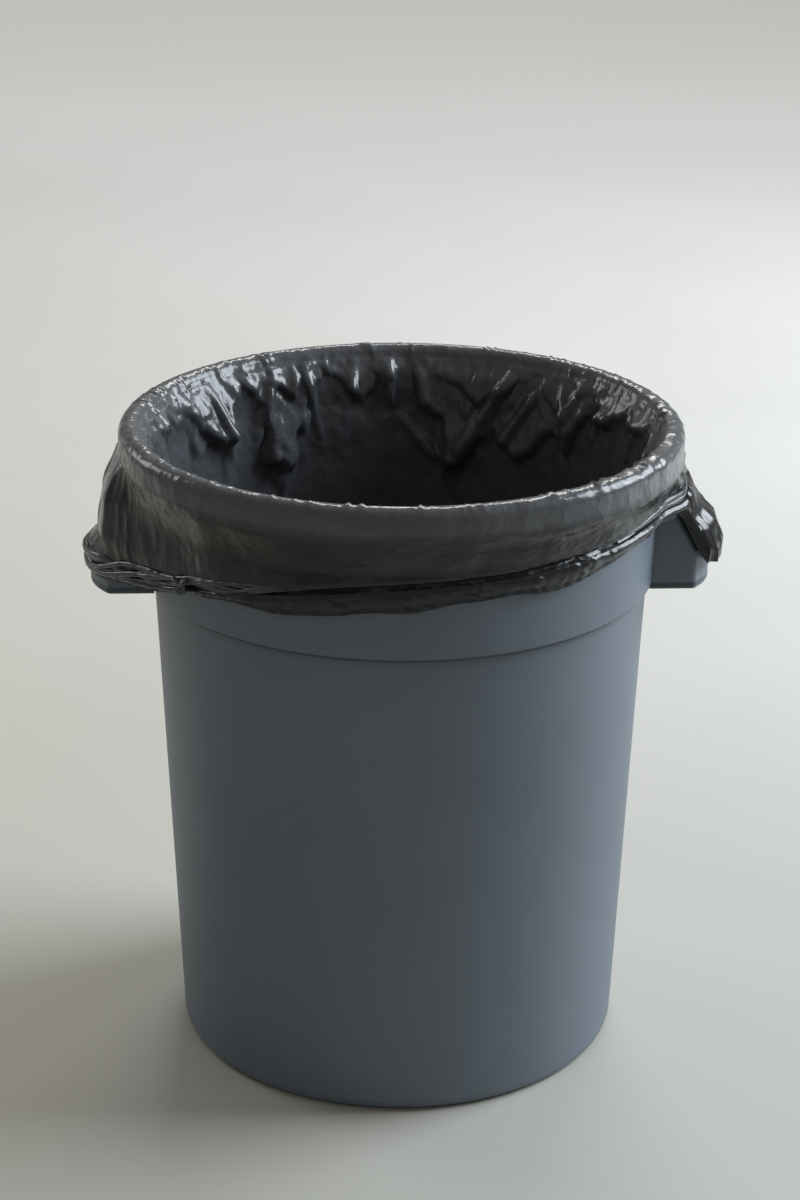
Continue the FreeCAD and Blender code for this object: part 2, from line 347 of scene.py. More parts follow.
def over_handle(turn, z):
    """Film that puffs out under the rim, drops to a handle's brow, and lies on down its front."""
    front = bow_reach(turn)
    above = RIM_R + np.interp(RIM_LOW - z, PUFF_DROPS, PUFF_REACHES)
    near_brow = np.clip((z - HOOD_BROW) / BROW_BLEND, 0, 1)
    on_handle = mix(front, front - BROW_STEP, near_brow) * (z < HOOD_TOP)
    return np.maximum(on_handle, above) + TENT_PROUD


def tent(turn, z, beside):
    """Film pulled round a handle's corner, straight to the round skirt beside it."""
    corner = over_handle(HOOD_CORNER, z)
    touch = HOOD_CORNER + np.arccos(np.clip(beside / corner, -1, 1))
    straight = beside / np.cos(np.clip(touch - turn, 0, 1.2))
    pulled = np.where(turn < touch, straight, beside)
    return np.maximum(np.where(turn <= HOOD_CORNER, over_handle(turn, z), pulled), beside)


def skirt_radius(theta, z):
    """Reach of the film outside the bin, under the rim."""
    outside = RIM_R + FILM_GAP
    taper = np.clip((RIM_LOW - z) / SKIRT_TAPER, 0, 1)
    drawn = mix(outside, collar_outside(z) + SKIRT_CLEAR, taper)
    left, right = away(theta, LEFT), away(theta, RIGHT)
    radius = np.where(left < math.pi / 2, tent(left, z, drawn), drawn)
    near = (1 - smooth(right, HOOD_CORNER, 2 * HOOD_CORNER)) * (right < math.pi / 2)
    return mix(radius, np.maximum(radius, outside + 1.2 * MM), near)


def hem_place(theta, share):
    """Radius and height of the hem at a share of its length."""
    start = mouth_height(theta) - MOUTH_HALF
    z = start - (around(theta, HEM_LENGTHS) * MM + ripple(theta, HEM_RIPPLES)) * share
    held = np.maximum(hood_radius(theta, z), collar_outside(z)) + 2 * FILM_GAP
    turn = away(theta, RIGHT)
    rolled = (1 - smooth(np.degrees(turn), 20, 70)) * 4.5 * MM + 1.5 * MM
    bulge = np.sin(math.pi * min(1.0, share * 1.2 + 0.1))
    radius = np.maximum(skirt_radius(theta, start) + rolled * bulge, held)
    hung = share * (1 - 0.12 * smooth(np.degrees(turn), 3, 11))
    bow = HOOD_REACH - bow_reach(np.minimum(turn, HOOD_CORNER))
    bowed = np.interp(hung, FLAP_SHARES, FLAP_REACHES) - bow * smooth(hung, 0.0, FLAP_SHARES[2])
    flap_z = mix(start, np.interp(hung, FLAP_SHARES, FLAP_RISES), np.clip(hung * 4, 0, 1))
    over = np.maximum(bowed, hood_radius(theta, flap_z) + 2 * FILM_GAP)
    flap = 1 - smooth(turn, *FLAP_EDGE)
    return mix(radius, over, flap), mix(z, flap_z, flap)


# %% Rows of the film's net
# The bottom has rows by radius, the lining and the rim's face by height, in millimetres, and the rest
# by share of their length. They are close where the film folds.
FLOOR_ROWS = np.linspace(0, 186, 14)
LOW_ROWS = np.linspace(22, 418, 34)
FOLD_ROWS = np.linspace(421, 570.5, 56)
FACE_ROWS = (568.5, 564.5, 560.5, 556.5)
ROWS = [("floor", radius * MM) for radius in FLOOR_ROWS]
ROWS += [("wall", height * MM) for height in (*LOW_ROWS, *FOLD_ROWS)]
ROWS += [("rim", share) for share in np.linspace(0, 1, 9)]
ROWS += [("face", height * MM) for height in FACE_ROWS]
ROWS += [("skirt", share) for share in np.linspace(0, 1, 15)[1:]]
ROWS += [("mouth", share) for share in (0.5, 1.0)]
ROWS += [("hem", share) for share in np.linspace(0, 1, 25)[1:]]
COLUMNS = 640
print(len(ROWS), "rows of", COLUMNS, "points")


def row_place(kind, value, theta):
    """Radius and height of one row of the net, before its folds."""
    same = np.ones_like(theta)
    if kind == "floor":
        return value * same, (FLOOR + FILM_GAP) * same
    if kind == "wall":
        straight = BASE_R - WALL + DRAFT * value
        hanging = mix(straight, wall_inside(value), smooth(value, 0.540, 0.572)) - FILM_GAP
        radius = min(hanging, 0.190 + (value - FLOOR) * 0.9)
        return radius * same, value * same
    if kind == "rim":
        turn = math.pi * (1 - value)
        middle = mix(RIM_IN + RIM_ROUND, RIM_R - RIM_ROUND, round(value))
        reach = RIM_ROUND + FILM_GAP
        z = HEIGHT - RIM_ROUND + reach * math.sin(turn)
        return (middle + reach * math.cos(turn)) * same, z * same
    if kind == "face":
        return (RIM_R + FILM_GAP) * same, value * same
    if kind == "hem":
        return hem_place(theta, value)
    top = mouth_height(theta) + MOUTH_HALF
    z = mix(RIM_LOW + 1.5 * MM, top, value) if kind == "skirt" else top - 2 * MOUTH_HALF * value
    groove = MOUTH_GROOVE if kind == "mouth" and value < 1 else 0
    return skirt_radius(theta, z) - groove, z


def net_places(rows, columns):
    theta = np.arange(columns) * (2 * math.pi / columns)
    places = []
    for kind, value in rows:
        radius, z = row_place(kind, value, theta)
        places.append(np.stack((radius * np.cos(theta), radius * np.sin(theta), z), axis=1))
    return np.array(places), theta


# %% [markdown]
# ## Folds of the lining
# A slack bag is caught at some points of the rim, and between two of them it hangs like the neck of a
# loose jumper: a swag. Its fold runs down from one point to a low one and up to the other. Above the
# fold the film slopes inwards and takes the light, and below it turns back under, into shadow. The
# swags overlap, so the one that stands furthest in is the one that shows. The folds at the back follow
# the photograph. It hides those on the near side, so they are left to seeded chance.

# %% Swags between points of the rim
# Degrees of the two hanging points and of the low point between them, its height and its depth in mm.
SEEN_SWAGS = (
    (172, 157, 163, 553, 9), (160, 140, 144, 546, 10), (161, 130, 146, 510, 8),
    (158, 129, 138, 522, 21), (128.5, 106, 119.5, 482, 27), (128, 111, 115.5, 548, 15),
    (105, 93, 98.5, 538, 15), (93, 87, 90, 555, 9), (86, 52, 72, 478, 29),
    (80, 57, 67.5, 535, 17), (66, 55, 62, 546, 11), (70, 34, 57, 492, 20),
    (52, 33, 39.5, 508, 21), (34, 16, 25.5, 546, 15), (18, 3, 13, 557, 12), (4, -12, -4, 543, 13))
# Straight folds that run down from the rim: degrees and z mm of both ends, height and half width in mm.
SEEN_RIDGES = (
    (91, 572, 90, 528, 8, 9), (90, 528, 78, 474, 9, 10), (57, 572, 72, 486, 10, 11),
    (50, 560, 61, 492, 8, 9), (39, 566, 44, 500, 7, 8), (45, 566, 39, 520, 6, 6),
    (28, 560, 33, 520, 5, 6), (99, 572, 103, 500, 7, 9), (112, 570, 108, 490, 8, 8),
    (120, 572, 127, 500, 6, 8), (141, 570, 136, 500, 7, 8), (148, 566, 150, 500, 3, 8),
    (84, 570, 80, 520, 5, 8), (67, 572, 70, 520, 5, 8), (12, 560, 16, 520, 5, 7),
    (-8, 560, -4, 510, 6, 8))
SWAG_TOP = HEIGHT - RIM_ROUND
SWAG_REACH = 0.78
SWAG_LIP = 1.2 * MM
SWAG_LIP_HALF = 4.5 * MM
TAIL_SHARE = 0.42
TAIL_HALF_DEGREES = 2.6
TAIL_LENGTH = 0.07
CHANCE_SEED = 11


def chance_swags():
    """Swags of the near side: neighbours that share their hanging points, and one inside each."""
    chance = np.random.default_rng(CHANCE_SEED)
    swags = []
    angle = -12.0
    while angle > -176:
        width = chance.uniform(14, 30)
        low = angle - width * chance.uniform(0.35, 0.65)
        swags.append((angle, angle - width, low, chance.uniform(478, 515), width * 0.95))
        swags.append((angle - width * 0.15, angle - width * 0.7, low + 2, chance.uniform(532, 552), 11))
        angle -= width
    return swags


def rim_swags():
    """Short swags right under the rim, all round it."""
    chance = np.random.default_rng(CHANCE_SEED + 1)
    swags = []
    angle = 0.0
    while angle < 360:
        width = chance.uniform(4, 10)
        low = angle + width * chance.uniform(0.3, 0.7)
        swags.append((angle + width, angle, low, chance.uniform(551, 564), width * 0.9))
        angle += width * chance.uniform(0.8, 1.6)
    return swags


SWAGS = SEEN_SWAGS + tuple(chance_swags()) + tuple(rim_swags())


def ridge_depth(theta, z):
    """How far the straight folds stand in from the wall at one height."""
    depth = np.zeros_like(theta)
    for first, top, second, foot, high, half in SEEN_RIDGES:
        share = (top * MM - z) / ((top - foot) * MM)
        side = (np.degrees(theta) - mix(first, second, share) + 180) % 360 - 180
        wide = half * MM * (0.6 + 0.6 * share)
        across = np.clip(1 - np.abs(np.radians(side)) * RIM_IN / wide, 0, 1)
        depth += high * MM * across * smooth(share, -0.1, 0.35) * (1 - smooth(share, 0.85, 1.15))
    return depth


def swag_depth(theta, z):
    """How far the lining stands in from the wall at one height."""
    depth = np.zeros_like(theta)
    down = SWAG_TOP - z
    warp = ripple(theta, ((13, 1.0, 55 * z), (31, 0.6, -90 * z), (71, 0.35, 160 * z)))
    turn = np.degrees(theta) + warp * min(1, down / 0.03) * 1.5
    z = z + ripple(theta, ((37, 1.6 * MM, 60 * z), (83, 1.0 * MM, -110 * z)))
    for first, second, low, low_z, deep in SWAGS:
        side = (turn - low + 180) % 360 - 180
        share = np.clip(np.where(side > 0, side / (first - low), side / (second - low)), 0, 1)
        fold = mix(low_z * MM, SWAG_TOP, share ** (1.05 + 0.008 * deep))
        reach = SWAG_REACH * deep * MM * (0.25 + 0.75 * (1 - share) ** 1.5) * (1 - share**4)
        above = np.clip((SWAG_TOP - z) / np.maximum(SWAG_TOP - fold, 1e-6), 0, 1) ** 1.35
        under = np.clip(1 - (fold - z) / (7 * MM + 0.8 * reach), 0, 1) ** 1.3
        lip = SWAG_LIP * np.exp(-(((z - fold) / SWAG_LIP_HALF) ** 2)) * (share < 1) * (1 - share)
        tail = TAIL_SHARE * np.exp(-((side / TAIL_HALF_DEGREES) ** 2))
        tail = tail * np.exp(-np.maximum(fold - z, 0) / TAIL_LENGTH)
        depth = np.maximum(depth, lip + reach * np.where(z > fold, above, np.maximum(under, tail)))
    return depth


def uneven_waves(theta, lowest, highest, seed):
    """Irregular waves round the bin, from 0 to 1."""
    chance = np.random.default_rng(seed)
    total = np.zeros_like(theta)
    for turns in range(lowest, highest):
        total += chance.normal() * np.sin(turns * theta + chance.uniform(0, 2 * math.pi)) / turns**0.5
    return (total - total.min()) / (total.max() - total.min())


def crumple(across, down, size, seed):
    """Height of straight creases that cross, from about 0 to 1, sharp along every crease."""
    chance = np.random.default_rng(seed)
    total = 0
    for _ in range(5):
        turn = chance.uniform(0, math.pi)
        wave = chance.uniform(0.7, 1.7) * size
        place = across * math.cos(turn) + down * math.sin(turn)
        total = total + np.abs(np.sin(math.pi * place / wave + chance.uniform(0, math.pi)))
    return np.clip((total - 1.6) / 3, 0, 1)


def first_folds(net, rows, theta):
    """The net with its large folds drawn in."""
    waves = uneven_waves(theta, 4, 16, 5)
    lower = uneven_waves(theta, 3, 13, 6)
    left = 1 - smooth(np.degrees(away(theta, LEFT)), 20, 60)
    for i, (kind, value) in enumerate(rows):
        radius = np.maximum(np.hypot(net[i, :, 0], net[i, :, 1]), 1 * MM)
        inward = np.zeros_like(theta)
        if kind == "wall":
            slack = smooth(value, 0.03, 0.08) * (1 - smooth(value, 0.50, 0.565))
            hung = swag_depth(theta, value) + ridge_depth(theta, value)
            inward = np.maximum(hung, 9 * MM * mix(lower, waves, smooth(value, 0.2, 0.45)) * slack)
        if kind == "skirt":
            soft = np.sin(7 * theta + 4 * value) * np.sin(12 * theta - 3 * value + 1)
            inward = 1.8 * MM * (1 + soft) * math.sin(math.pi * value) * (1 - left)
        net[i, :, :2] *= (1 - inward / radius)[:, None]
    return net


def soften(net, rows):
    """The net with the lining's folds rounded over by about the space of its points."""
    lining = [i for i, (kind, value) in enumerate(rows) if kind == "wall" and value > 0.3]
    softer = (np.roll(net, 1, axis=1) + 2 * net + np.roll(net, -1, axis=1)) / 4
    softer[1:-1] = (softer[:-2] + 2 * softer[1:-1] + softer[2:]) / 4
    net = net.copy()
    net[lining] = mix(net[lining], softer[lining], 0.6)
    return net


# %% Hang the film
def hang_film():
    """The net with its folds, and the mean length of film between neighbouring rows."""
    places, theta = net_places(ROWS, COLUMNS)
    net = soften(first_folds(places, ROWS, theta), ROWS)
    lengths = np.linalg.norm(net[1:] - net[:-1], axis=2).mean(axis=1)
    return net, lengths


film, row_lengths = hang_film()
print("film hung, lowest", round(film[:, :, 2].min(), 4), "highest", round(film[:, :, 2].max(), 4))

# %% [markdown]
# ## Small creases
# Once the large folds hang, small creases are pressed into the net along its normals, always away from
# the bin. Over the rim they run across it, because there the spare width is squeezed into fine pleats.
# On the outer face the film is taut and smooth. By the right handle the pleats fan out of the tight
# mouth, by the left one they are fine and upright, and in front the hem is tucked up at a few places.

# %% Creases pressed into the net
def normals(net):
    """Unit normals, on the side that faces away from the bin."""
    sideways = np.roll(net, -1, axis=1) - np.roll(net, 1, axis=1)
    onward = np.gradient(net, axis=0)
    normal = np.cross(onward, sideways)
    return normal / np.maximum(np.linalg.norm(normal, axis=2, keepdims=True), 1e-12)


def pleats(across, down, wave, lean, seed):
    """Height of narrow pleats of uneven width and place that run along the film, from 0 to 1."""
    total = 0
    for i in range(3):
        drift = uneven_waves(across / RIM_R, 3, 50, seed + i) * 14
        slant = down * lean * (i - 1)
        total = total + np.abs(np.sin(math.pi * (across + slant) / wave / (1 + 0.37 * i) + drift))
    return np.clip(1.5 - total, 0, 1)


def along_film(net):
    """How far each row lies along the film from the middle of the bag's bottom."""
    return np.concatenate(([0.0], np.cumsum(np.linalg.norm(net[1:] - net[:-1], axis=2).mean(axis=1))))


# Where the hem is tucked up in front, and the half width of a tuck, in degrees.
HEM_TUCKS = (-118, -104, -89, -77, -64, -52)
TUCK_HALF_DEGREES = 3.5


def press_creases(net, rows):
    """The net with small creases pressed into it, away from the bin."""
    theta = np.arange(net.shape[1]) * (2 * math.pi / net.shape[1])
    across = theta * RIM_R
    down = along_film(net)
    left = 1 - smooth(np.degrees(away(theta, LEFT)), 14, 34)
    right = 1 - smooth(np.degrees(away(theta, RIGHT)), 18, 52)
    sunny = 1 - smooth(np.degrees(away(theta, math.radians(-5))), 25, 75)
    flap = 1 - smooth(away(theta, RIGHT), *FLAP_EDGE)
    height = np.zeros(net.shape[:2])
    for i, (kind, value) in enumerate(rows):
        large = crumple(across, down[i] * 0.7, 42 * MM, 33)
        small = crumple(across, down[i], 15 * MM, 34)
        rim_pleats = pleats(across, down[i], 17 * MM, 0.5, 31)
        fan = pleats(across, down[i], 24 * MM, 0.7 * right, 35)
        fine = pleats(across, down[i], 13 * MM, 0.2, 36)
        if kind == "wall":
            near_top = smooth(value, 0.40, 0.50)
            under_rim = smooth(value, 0.505, 0.57)
            height[i] = ((2.6 * large + 0.8 * small) * near_top + rim_pleats * 1.8 * under_rim) * MM
        elif kind == "rim":
            crossing = (1.8 + 1.4 * sunny) * rim_pleats * (1 - smooth(value, 0.45, 0.85))
            height[i] = (crossing + (0.12 + 0.9 * sunny) * small) * MM
        elif kind == "face":
            height[i] = 0.25 * MM * large + 0.8 * MM * fine * left
        elif kind == "skirt":
            grow = smooth(value, 0.0, 0.5)
            height[i] = (0.9 * large + 0.2 * small + 3.0 * fan * right * grow + 1.6 * fine * left) * MM
        elif kind == "hem":
            creased = 3.6 * crumple(across, down[i], 19 * MM, 37)
            creased += 2.4 * crumple(across, down[i] * 0.5, 8 * MM, 38)
            creased += 3.4 * pleats(across, down[i], 20 * MM, 0.25, 39)
            sides = [np.degrees(theta) - 360 - turn for turn in HEM_TUCKS]
            tucked = sum(np.exp(-((side / TUCK_HALF_DEGREES) ** 2)) for side in sides)
            tucks = 2.2 * crumple(across, down[i], 9 * MM, 40) * tucked
            height[i] = (1.1 * large + 0.25 * small + flap * creased + tucks) * MM
        else:
            height[i] = 0.4 * MM * small
    return net + normals(net) * height[:, :, None]


rim_normals = normals(film)[ROWS.index(("rim", 0.5))]
print("least upward normal on the rim", round(float(rim_normals[:, 2].min()), 3))
film = press_creases(film, ROWS)

# %% [markdown]
# ## From net to film
# The net becomes three meshes, so that each stays small: the lining, the film over the rim and the
# skirt. Neighbours share a row, low in the bin and under the rim, where no seam shows. Each gets a
# thickness far under a millimetre, and a UV map in metres along and across the film, so that creases
# follow the film wherever it turns.

# %% Meshes of the film
FILM_THICK = 0.25 * MM
SMOOTH_UP_TO = math.radians(58)


def merge_pole(mesh):
    """Makes one point of all those in the middle of the bag's bottom."""
    work = bmesh.new()
    work.from_mesh(mesh)
    bmesh.ops.remove_doubles(work, verts=work.verts, dist=0.001 * MM)
    work.to_mesh(mesh)
    work.free()


def film_mesh(name, net, down):
    """One stretch of the net as a mesh, closed round the bin, with its UV map."""
    rows, columns = net.shape[:2]
    index = np.arange(rows * columns).reshape(rows, columns)
    right = np.roll(index, -1, axis=1)
    quads = np.stack((index[:-1], index[1:], right[1:], right[:-1]), axis=2).reshape(-1, 4)
    mesh = bpy.data.meshes.new(name)
    mesh.from_pydata(net.reshape(-1, 3).tolist(), [], quads.tolist())
    across = np.arange(columns) * FLAT_WIDTH / columns
    layer = mesh.uv_layers.new(name="film")
    corners = np.zeros((len(quads), 4, 2))
    columns_of = quads % columns
    corners[:, :, 0] = across[columns_of]
    wrapped = (columns_of == 0) & (columns_of.max(axis=1, keepdims=True) == columns - 1)
    corners[:, :, 0] += wrapped * FLAT_WIDTH
    corners[:, :, 1] = down[quads // columns]
    layer.data.foreach_set("uv", corners.ravel())
    mesh.polygons.foreach_set("use_smooth", np.ones(len(quads), dtype=bool))
    merge_pole(mesh)
    piece = bpy.data.objects.new(name, mesh)
    bpy.context.collection.objects.link(piece)
    return piece


def thicken(piece, thickness):
    """Gives a piece of film its thickness, and leaves it a plain mesh."""
    solidify = piece.modifiers.new("thickness", "SOLIDIFY")
    solidify.thickness = thickness
    solidify.offset = 0
    evaluated = piece.evaluated_get(bpy.context.evaluated_depsgraph_get())
    mesh = bpy.data.meshes.new_from_object(evaluated)
    piece.modifiers.clear()
    mesh.set_sharp_from_angle(angle=SMOOTH_UP_TO)
    piece.data = mesh


# %% [markdown]
# ## Black film
# Blown film is dark, glossy and never flat. Its gloss breaks over creases of every size: the net makes
# the large ones, and a bump makes those under a few millimetres, from Voronoi cells at two sizes that
# are bent a little by noise. Inside the bag the film is painted paler, as painted light for the sheen
# that the lining catches. Over the rim and its face it is paler too: partly because the film is
# stretched thin there, and partly as a painted sheen.

# %% Finish of the film
FILM_DARK = (0.010, 0.011, 0.012, 1)
FILM_LIGHT = (0.021, 0.021, 0.022, 1)
# Painted light: paler film inside the bag for the lining's sheen, and over the rim partly stretched
# thin film and partly a painted sheen.
FILM_INSIDE_LIT = (0.082, 0.086, 0.094, 1)
FILM_STRETCHED_SHEEN = (0.098, 0.101, 0.107, 1)
STRETCHED_FROM = 0.552


def film_finish(rim_at):
    f = Finish("bag_film")
    place = f.node("ShaderNodeUVMap", {"uv_map": "film"})
    drift = f.node("ShaderNodeTexNoise", {}, {"Vector": place, "Scale": 16.0, "Detail": 2.0}, output=1)
    bent = f.node("ShaderNodeVectorMath", {"operation": "MULTIPLY_ADD"},
                  {0: drift, 1: (0.03, 0.03, 0.03), 2: place})
    large = f.node("ShaderNodeTexVoronoi", {"feature": "F1"}, {"Vector": bent, "Scale": 34.0})
    small = f.node("ShaderNodeTexVoronoi", {"feature": "F1"}, {"Vector": bent, "Scale": 105.0})
    fine = f.noise(place, 420.0, 2.0)
    patches = f.noise(place, 9.0, 3.0)
    height_up = f.node("ShaderNodeSeparateXYZ", {}, {0: f.node("ShaderNodeTexCoord", output=3)},
                       output="Z")
    # Over the rim: partly stretched thin film, partly painted sheen.
    stretched_sheen = f.ramp(height_up * 60 - STRETCHED_FROM * 60, (0.0, 0.0), (0.6, 1.0))
    along = f.node("ShaderNodeSeparateXYZ", {}, {0: place}, output="Y")
    # Inside the bag: painted light, a paler film standing in for the sheen that the lining catches.
    inside_lit = f.ramp(along * 10 - (rim_at * 10 - 1), (0.5, 1.0), (1.0, 0.0))
    colour = f.colours(f.ramp(patches, (0.35, 0.0), (0.7, 1.0)), FILM_DARK, FILM_LIGHT)
    colour = f.colours(inside_lit * 0.75, colour, FILM_INSIDE_LIT)
    colour = f.colours(stretched_sheen * 0.8, colour, FILM_STRETCHED_SHEEN)
    height = large * 1.0 + small * 0.35 + fine * 0.05
    normal = f.node("ShaderNodeBump", {}, {"Strength": 0.6, "Distance": 0.0025, "Height": height})
    return f.set(Base_Color=colour, Roughness=patches * 0.16 + 0.13, Normal=normal, IOR=1.42)


down_film = along_film(film)
FILM = film_finish(float(down_film[ROWS.index(("rim", 0.0))]))
low_row = next(i for i, (kind, value) in enumerate(ROWS) if kind == "wall" and value > 0.419)
face_row = max(i for i, (kind, _) in enumerate(ROWS) if kind == "face")
lining = film_mesh("bag_lining", film[:low_row + 1], down_film[:low_row + 1])
over_rim = film_mesh("bag_over_rim", film[low_row:face_row + 1], down_film[low_row:face_row + 1])
skirt = film_mesh("bag_skirt", film[face_row:], down_film[face_row:])
for piece in (lining, over_rim, skirt):
    piece.data.materials.append(FILM)
    thicken(piece, FILM_THICK)
    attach(piece, "root")
    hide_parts("bin_bag")
    print(piece.name, len(piece.data.polygons), "faces")
# The bottom of the bag is gathered: a disc has half the area of film as long as its radius.
row_lengths[:len(FLOOR_ROWS)] /= 2

# %% [markdown]
# ## The tight mouth
# The bag's mouth was pulled in, twisted and knotted. It is a bundle of strands that turn slowly round
# each other, so each strand is a curve round the bin with a wandering offset. A Geometry Nodes tree
# gives a curve its gathered section: it follows the path, swells and thins by noise, and ends in
# Realize Instances and Set Material.

# %% Geometry Nodes: a gathered strand along a curve
STRAND_INPUTS = (("Radius", 2.0 * MM), ("Swell", 0.5), ("Ridge Depth", 0.5 * MM), ("Step", 2.2 * MM))


def strand_tree():
    tree = bpy.data.node_groups.new("gathered strand", "GeometryNodeTree")
    face = tree.interface
    face.new_socket("Geometry", in_out="INPUT", socket_type="NodeSocketGeometry")
    for label, value in STRAND_INPUTS:
        face.new_socket(label, in_out="INPUT", socket_type="NodeSocketFloat").default_value = value
    face.new_socket("Finish", in_out="INPUT", socket_type="NodeSocketMaterial")
    face.new_socket("Geometry", in_out="OUTPUT", socket_type="NodeSocketGeometry")
    f = Nodes(tree)
    given = {socket.name: Value(f, socket) for socket in tree.nodes.new("NodeGroupInput").outputs}
    path = f.node("GeometryNodeResampleCurve", {"mode": "LENGTH"},
                  {"Curve": given["Geometry"], "Length": given["Step"]})
    swell = f.node("ShaderNodeTexNoise", {}, {"Scale": 30.0, "Detail": 2.0}) - 0.5
    swollen = f.node("ShaderNodeMath", {"operation": "MULTIPLY_ADD"},
                     {0: swell, 1: given["Swell"], 2: 1.0})
    radius = swollen * (f.node("GeometryNodeInputRadius") * given["Radius"])
    thick = f.node("GeometryNodeSetCurveRadius", {}, {"Curve": path, "Radius": radius})
    section = f.node("GeometryNodeCurvePrimitiveCircle", {"mode": "RADIUS"},
                     {"Resolution": 12, "Radius": 1.0})
    tube = f.node("GeometryNodeCurveToMesh", {}, {
        "Curve": thick, "Profile Curve": section, "Scale": f.node("GeometryNodeInputRadius"),
        "Fill Caps": True})
    ridges = f.node("ShaderNodeTexNoise", {}, {"Scale": 260.0, "Detail": 2.0}) - 0.5
    offset = f.node("ShaderNodeVectorMath", {"operation": "SCALE"},
                    {0: f.node("GeometryNodeInputNormal"), "Scale": ridges * given["Ridge Depth"]})
    moved = f.node("GeometryNodeSetPosition", {}, {"Geometry": tube, "Offset": offset})
    soft = f.node("GeometryNodeSetShadeSmooth", {}, {"Geometry": moved})
    real = f.node("GeometryNodeRealizeInstances", {}, {"Geometry": soft})
    done = f.node("GeometryNodeSetMaterial", {}, {"Geometry": real, "Material": given["Finish"]})
    f.plug(tree.nodes.new("NodeGroupOutput").inputs[0], done)
    return tree


STRAND = strand_tree()


def closed_curve(points, sizes):
    """A closed curve through points, with a share of the strand's radius at each."""
    data = bpy.data.curves.new("strand", "CURVE")
    data.dimensions = "3D"
    spline = data.splines.new("POLY")
    spline.points.add(len(points) - 1)
    spline.points.foreach_set("co", np.column_stack((points, np.ones(len(points)))).ravel())
    spline.points.foreach_set("radius", np.broadcast_to(sizes, len(points)).astype(np.float32))
    spline.use_cyclic_u = True
    piece = bpy.data.objects.new("strand", data)
    bpy.context.collection.objects.link(piece)
    return piece


def gathered(points, along, **sizes):
    """A strand's mesh along a closed path, made by the tree and left as a plain mesh."""
    piece = closed_curve(points, along)
    modifier = piece.modifiers.new("strand", "NODES")
    modifier.node_group = STRAND
    inputs = [item for item in STRAND.interface.items_tree if item.in_out == "INPUT"]
    sockets = {item.name: item.identifier for item in inputs}
    for key, value in sizes.items():
        modifier[sockets[key.replace("_", " ")]] = value
    modifier[sockets["Finish"]] = FILM
    evaluated = piece.evaluated_get(bpy.context.evaluated_depsgraph_get())
    mesh = bpy.data.meshes.new_from_object(evaluated)
    bpy.data.objects.remove(piece)
    return mesh


# %% Strands of the mouth
# How thick the bundle is round the bin, as a share: a thin fold in front, loose on the left, a rope on
# the right.
BUNDLE = (
    (-180, 1.2), (-164, 1.1), (-150, 1.0), (-128, 0.9), (-116, 0.3), (-100, 0.0), (-62, 0.0),
    (-38, 0.55), (-20, 1.0), (0, 1.0), (30, 0.7), (60, 0.1), (110, 0.2), (150, 0.8))
# How far the strands lie apart, in the same way: fanned out over the left handle, tight at the knot.
FAN = (
    (-180, 2.1), (-166, 1.8), (-154, 1.3), (-144, 0.8), (-132, 1.5), (-118, 1.2), (-100, 0.5),
    (-60, 0.5), (-38, 1.0), (60, 1.0), (110, 1.0), (150, 2.0))
# Each strand: where it starts to wind, how far it is raised and its radius in mm, and its seed.
STRANDS = ((0.0, 1.5, 2.1, 21), (1.2, -0.5, 2.4, 22), (2.5, -2.0, 1.8, 23), (3.8, 0.5, 1.6, 24),
           (5.0, 0.0, 2.2, 25))
STRAND_TURNS = 2
STRAND_SPREAD = 3.6 * MM
STRAND_THINNEST = 0.05


def strand_path(lead, rise, seed):
    """A path round the bin at the mouth, which winds round the mouth's own line, and its sizes."""
    theta = np.linspace(0, 2 * math.pi, 900, endpoint=False)
    share = around(theta, BUNDLE)
    wander = uneven_waves(theta, 3, 19, seed) - 0.5
    spread = STRAND_SPREAD * around(theta, FAN)
    angle = lead + STRAND_TURNS * theta + 3.0 * wander
    z = mouth_height(theta) + 2.5 * MM + (rise + spread * np.sin(angle)) * share
    lift = np.minimum(spread, STRAND_SPREAD) * 0.25 * (1 + np.cos(angle)) - 0.4 * MM
    radius = skirt_radius(theta, z) - 1.6 * MM * (1 - share) + lift * share
    path = np.column_stack((radius * np.cos(theta), radius * np.sin(theta), z))
    return path, np.maximum(share, STRAND_THINNEST)


# The knot is two loops: where each starts, and its size in mm.
KNOT_TURN = math.radians(-144.7)
KNOT_LOOPS = ((0.0, 4.6), (0.5, 3.2))


def knot_path(lead, size):
    """A loop that passes twice round itself beside the mouth, as the film does in an overhand knot."""
    round_it = np.linspace(0, 2 * math.pi, 120, endpoint=False) + lead
    side = size * (np.sin(round_it) + 1.1 * np.sin(2 * round_it))
    rise = size * 0.8 * (np.cos(round_it) - 1.1 * np.cos(2 * round_it))
    middle = np.array([KNOT_TURN])
    proud = skirt_radius(middle, mouth_height(middle))[0] + 4 * MM
    proud = proud + 0.6 * size * np.sin(3 * round_it)
    theta = KNOT_TURN + side / proud
    z = mouth_height(theta) + 2 * MM + rise
    return np.column_stack((proud * np.cos(theta), proud * np.sin(theta), z))


def joined(name, meshes):
    """One object from several meshes."""
    merged = bpy.data.meshes.new(name)
    points, faces = [], []
    for mesh in meshes:
        start = len(points)
        points += [tuple(v.co) for v in mesh.vertices]
        faces += [tuple(start + i for i in face.vertices) for face in mesh.polygons]
    merged.from_pydata(points, [], faces)
    merged.polygons.foreach_set("use_smooth", np.ones(len(faces), dtype=bool))
    merged.materials.append(FILM)
    piece = bpy.data.objects.new(name, merged)
    bpy.context.collection.objects.link(piece)
    return piece


